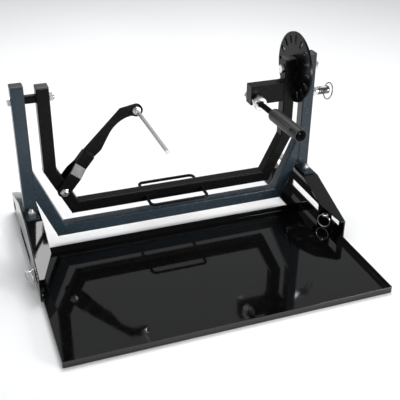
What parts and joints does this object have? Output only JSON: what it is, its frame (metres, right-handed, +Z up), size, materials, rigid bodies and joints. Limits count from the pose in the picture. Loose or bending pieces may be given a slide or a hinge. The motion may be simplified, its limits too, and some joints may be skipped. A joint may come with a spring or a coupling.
{
  "type": "engine assembly stand",
  "caption": "Bench-top assembly stand: a tube cradle turns inside a U-shaped frame, with an index disc and pull pin, a swinging support arm, an adjustable socket and a drip tray.",
  "frame": {"origin": "middle of the bounding box, on the plane the stand rests on", "axes": "+X along the crossbars towards the index disc, -Y towards the drip tray's front rim, +Z up"},
  "size_m": [0.8634, 0.655, 0.488],
  "materials": {
    "slate_paint": "dark blue-grey powder coat, satin",
    "gloss_black": "black powder coat, glossy",
    "satin_black": "black powder coat, satin",
    "black_plastic": "moulded black plastic",
    "socket_grey": "dark grey oxide finish, satin",
    "bright_steel": "turned bright steel",
    "zinc": "bright zinc plating"
  },
  "bodies": {
    "base": {"left_side_bracket": "gloss_black", "right_side_bracket": "gloss_black", "left_foot_plate": "slate_paint", "right_foot_plate": "slate_paint", "left_outer_upright": "slate_paint", "right_outer_upright": "slate_paint", "left_outer_diagonal": "slate_paint", "right_outer_diagonal": "slate_paint", "outer_crossbar": "slate_paint", "left_outer_cap": "black_plastic", "right_outer_cap": "black_plastic", "left_front_foot_bolt": "zinc", "left_front_foot_nut": "zinc", "left_rear_foot_bolt": "zinc", "left_rear_foot_nut": "zinc", "right_front_foot_bolt": "zinc", "right_front_foot_nut": "zinc", "right_rear_foot_bolt": "zinc", "right_rear_foot_nut": "zinc", "left_pivot_bolt": "zinc", "left_pivot_nut": "zinc", "left_pivot_spacer": "satin_black", "right_pivot_bolt": "zinc", "right_pivot_nut": "zinc", "right_pivot_spacer": "zinc", "plunger_housing": "zinc"},
    "tray": {"drip_tray": "gloss_black"},
    "cradle": {"left_inner_upright": "satin_black", "right_inner_upright": "satin_black", "left_inner_diagonal": "satin_black", "right_inner_diagonal": "satin_black", "inner_crossbar": "satin_black", "left_inner_cap": "black_plastic", "right_inner_cap": "black_plastic", "index_disc": "satin_black", "front_handle": "satin_black", "rear_handle": "satin_black", "socket_beam": "gloss_black"},
    "arm": {"front_fork_leaf": "satin_black", "rear_fork_leaf": "satin_black", "arm_blade": "satin_black", "arm_pivot_bolt": "zinc", "arm_pivot_nut": "zinc", "rod_front_washer": "zinc", "rod_front_nut": "zinc", "rod_rear_nut": "zinc"},
    "rod": {"clamp_rod": "zinc"},
    "front_nut": {"stud_front_nut": "zinc"},
    "rear_nut": {"stud_rear_nut": "zinc"},
    "adjuster": {"socket_stud": "satin_black", "socket_tube": "socket_grey", "stud_washer": "zinc"},
    "plunger": {"index_pin": "bright_steel", "pull_knob": "bright_steel"},
    "plunger_ring": {"pull_ring": "zinc"},
    "left_pin": {"left_lock_pin": "zinc"},
    "left_ring": {"left_lock_ring": "zinc"},
    "right_pin": {"right_lock_pin": "zinc"},
    "right_ring": {"right_lock_ring": "zinc"}
  },
  "joints": [
    {"name": "cradle_turn", "type": "hinge", "parent": "base", "child": "cradle", "pos_m": [-0.02319, 0.1255, 0.399], "axis": [1, 0, 0], "range_deg": [-180, 180]},
    {"name": "tray_slide", "type": "slide", "parent": "base", "child": "tray", "axis": [0, -1, 0], "range_m": [0, 0.09]},
    {"name": "arm_swing", "type": "hinge", "parent": "cradle", "child": "arm", "pos_m": [-0.30469, 0.1255, 0.16], "axis": [0, 1, 0], "range_deg": [-24, 38]},
    {"name": "rod_slide", "type": "slide", "parent": "arm", "child": "rod", "axis": [0, 1, 0], "range_m": [0, 0.1]},
    {"name": "nut_turn", "type": "hinge", "parent": "cradle", "child": "front_nut", "pos_m": [0.19481, 0.1255, 0.328], "axis": [-0.0172, 0.9996, -0.0208], "range_deg": [0, 1800]},
    {"name": "rear_nut_turn", "type": "hinge", "parent": "cradle", "child": "rear_nut", "pos_m": [0.19481, 0.1255, 0.328], "axis": [-0.0172, 0.9996, -0.0208], "range_deg": [0, 1800]},
    {"name": "socket_slide", "type": "slide", "parent": "cradle", "child": "adjuster", "axis": [0.0172, -0.9996, 0.0208], "range_m": [0, 0.01]},
    {"name": "plunger_slide", "type": "slide", "parent": "base", "child": "plunger", "axis": [-1, 0, 0], "range_m": [0, 0.007]},
    {"name": "plunger_ring_swing", "type": "hinge", "parent": "plunger", "child": "plunger_ring", "pos_m": [0.39331, 0.1255, 0.327], "axis": [0.2712, 0.3014, 0.9141], "range_deg": [-30, 30]},
    {"name": "left_pin_slide", "type": "slide", "parent": "base", "child": "left_pin", "axis": [-1, 0, 0], "range_m": [0, 0.02]},
    {"name": "left_ring_swing", "type": "hinge", "parent": "left_pin", "child": "left_ring", "pos_m": [-0.42219, -0.0205, 0.038], "axis": [-0.4695, 0.8829, 0], "range_deg": [0, 60]},
    {"name": "right_pin_slide", "type": "slide", "parent": "base", "child": "right_pin", "axis": [-1, 0, 0], "range_m": [0, 0.02]},
    {"name": "right_ring_swing", "type": "hinge", "parent": "right_pin", "child": "right_ring", "pos_m": [0.34581, -0.0205, 0.038], "axis": [-0.6018, 0.7986, 0], "range_deg": [0, 60]}
  ]
}
